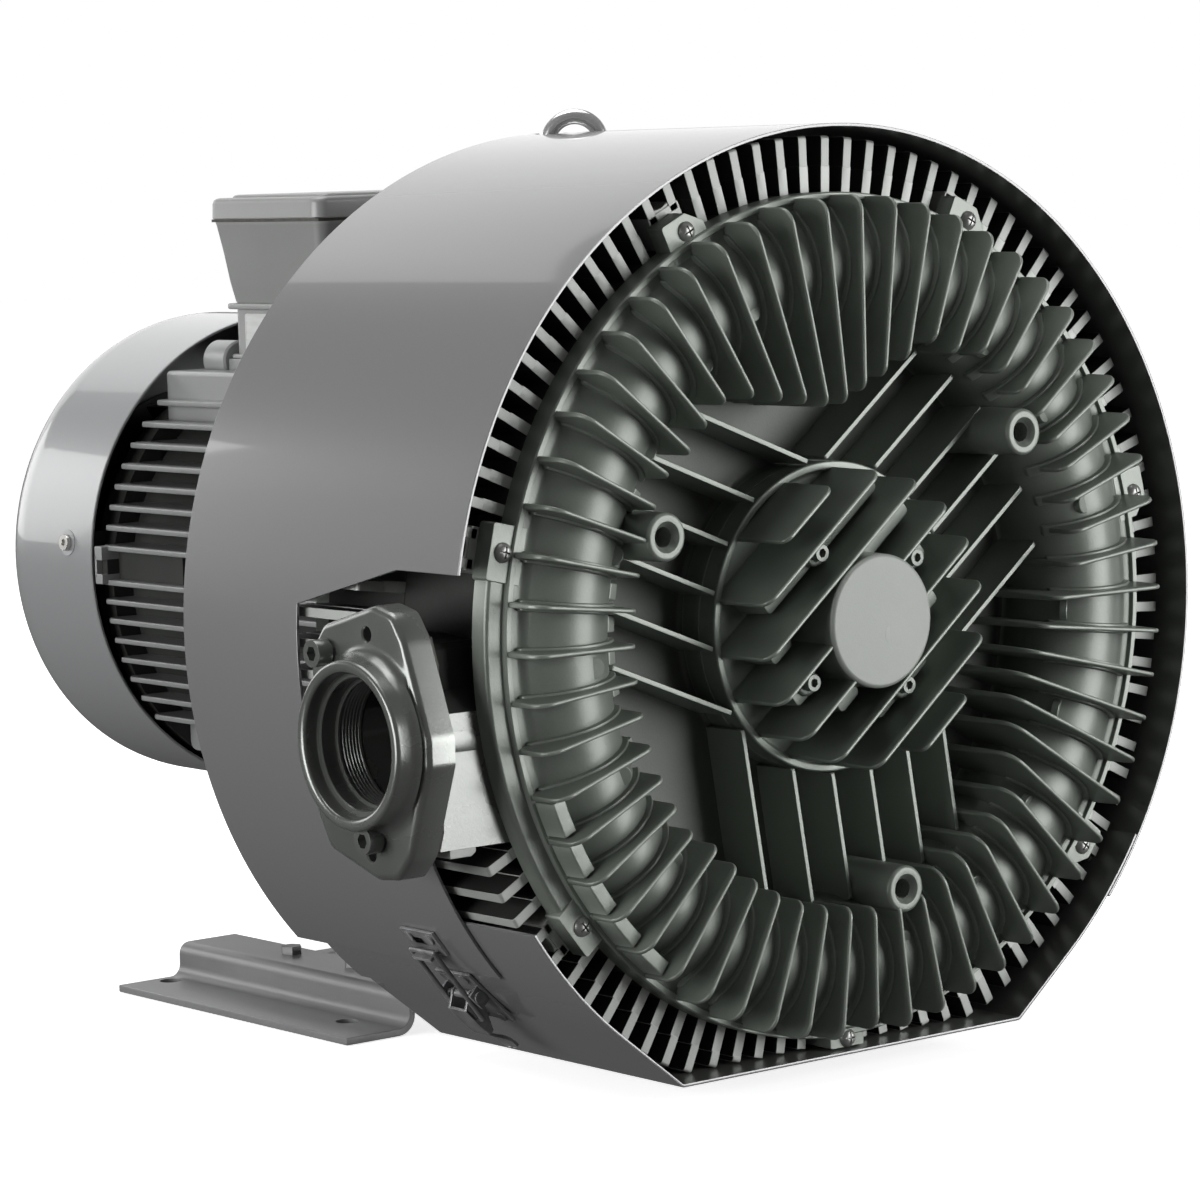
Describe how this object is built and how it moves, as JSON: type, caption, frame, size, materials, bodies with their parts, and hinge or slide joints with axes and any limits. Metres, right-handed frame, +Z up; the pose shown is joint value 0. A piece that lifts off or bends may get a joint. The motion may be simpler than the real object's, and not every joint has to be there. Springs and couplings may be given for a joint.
{
  "type": "side channel blower",
  "caption": "Motor-driven side channel blower with finned cast housing, round sheet shroud, flanged threaded ports, terminal box and bent-plate feet.",
  "frame": {"origin": "centre of the four foot-bolt holes, on the plane the feet stand on", "axes": "+Z up; +Y along the shaft from the finned front cover to the motor; +X to the right when facing the front cover. The shaft axis is at X = 0, Z = 0.285 m."},
  "size_m": [0.674, 0.7484, 0.6],
  "materials": {
    "casting_paint": "semi-gloss paint over a fine cast texture",
    "shroud_paint": "smooth semi-gloss grey paint",
    "motor_paint": "smooth semi-gloss grey paint",
    "foot_paint": "satin grey paint",
    "zinc_steel": "bright zinc",
    "dark_zinc": "dark zinc, satin",
    "black_steel": "oiled dark steel",
    "chrome_steel": "bright plated",
    "electrical_steel": "laminated edge",
    "copper_enamel": "varnished copper winding",
    "machined_steel": "turned",
    "bearing_steel": "ground",
    "cast_alloy": "as cast",
    "rubber_seal": "matt",
    "gasket_fibre": "matt fibre sheet",
    "black_plastic": "matt moulded",
    "board_plastic": "moulded",
    "brass_plain": "plain",
    "bare_plate": "bare plate, no marking"
  },
  "bodies": {
    "housing": {"front_cover": "casting_paint", "hub_cover": "casting_paint", "middle_casing": "casting_paint", "rear_casing": "casting_paint", "inlet_flange": "casting_paint", "outlet_flange": "casting_paint", "front_cover_screws": "zinc_steel", "hub_cover_screws": "zinc_steel", "casing_bolts": "zinc_steel", "inlet_flange_screws": "black_steel", "outlet_flange_screws": "black_steel", "inlet_gasket": "gasket_fibre", "outlet_gasket": "gasket_fibre", "terminal_box_gasket": "rubber_seal", "shroud_upper": "shroud_paint", "shroud_lower": "shroud_paint", "shroud_rivets": "zinc_steel", "latch_base": "dark_zinc", "latch_hook": "dark_zinc", "latch_rivets": "dark_zinc", "latch_pin": "dark_zinc", "eye_bolt": "chrome_steel", "foot_left": "foot_paint", "foot_right": "foot_paint", "base_plate": "foot_paint", "foot_bolts": "zinc_steel", "casing_foot_bolts": "zinc_steel", "motor_frame": "motor_paint", "motor_flange_screws": "zinc_steel", "stator_core": "electrical_steel", "stator_winding": "copper_enamel", "nde_shield": "motor_paint", "nde_shield_screws": "zinc_steel", "fan_cowl": "motor_paint", "fan_cowl_screws": "zinc_steel", "terminal_box_neck": "motor_paint", "terminal_box_body": "motor_paint", "terminal_box_lid": "motor_paint", "terminal_box_screws": "zinc_steel", "terminal_board": "board_plastic", "terminal_studs": "brass_plain", "cable_entry_plugs": "black_plastic", "rating_plate": "bare_plate", "front_bearing_outer": "bearing_steel", "drive_end_bearing_outer": "bearing_steel", "rear_bearing_outer": "bearing_steel", "drive_end_seal": "rubber_seal"},
    "rotor": {"shaft": "machined_steel", "front_bearing_inner": "bearing_steel", "drive_end_bearing_inner": "bearing_steel", "rear_bearing_inner": "bearing_steel", "front_spacer": "machined_steel", "impeller_spacer": "machined_steel", "front_impeller": "cast_alloy", "rear_impeller": "cast_alloy", "rotor_core": "electrical_steel", "cooling_fan": "black_plastic", "fan_retaining_ring": "machined_steel"},
    "lever": {"latch_lever": "dark_zinc"},
    "bail": {"latch_bail": "dark_zinc"}
  },
  "joints": [
    {"name": "rotor_spin", "type": "hinge", "parent": "housing", "child": "rotor", "pos_m": [0, 0, 0.285], "axis": [0, 1, 0], "continuous": true},
    {"name": "latch_lever_swing", "type": "hinge", "parent": "housing", "child": "lever", "pos_m": [-0.21213, -0.348, 0.06728], "axis": [0, 1, 0], "range_deg": [0, 110]},
    {"name": "latch_bail_swing", "type": "hinge", "parent": "lever", "child": "bail", "pos_m": [-0.20679, -0.348, 0.05256], "axis": [0, 1, 0], "range_deg": [-110, 0]}
  ],
  "couplings": [
    {"joint": "latch_bail_swing", "follows": "latch_lever_swing", "ratio": -1}
  ]
}
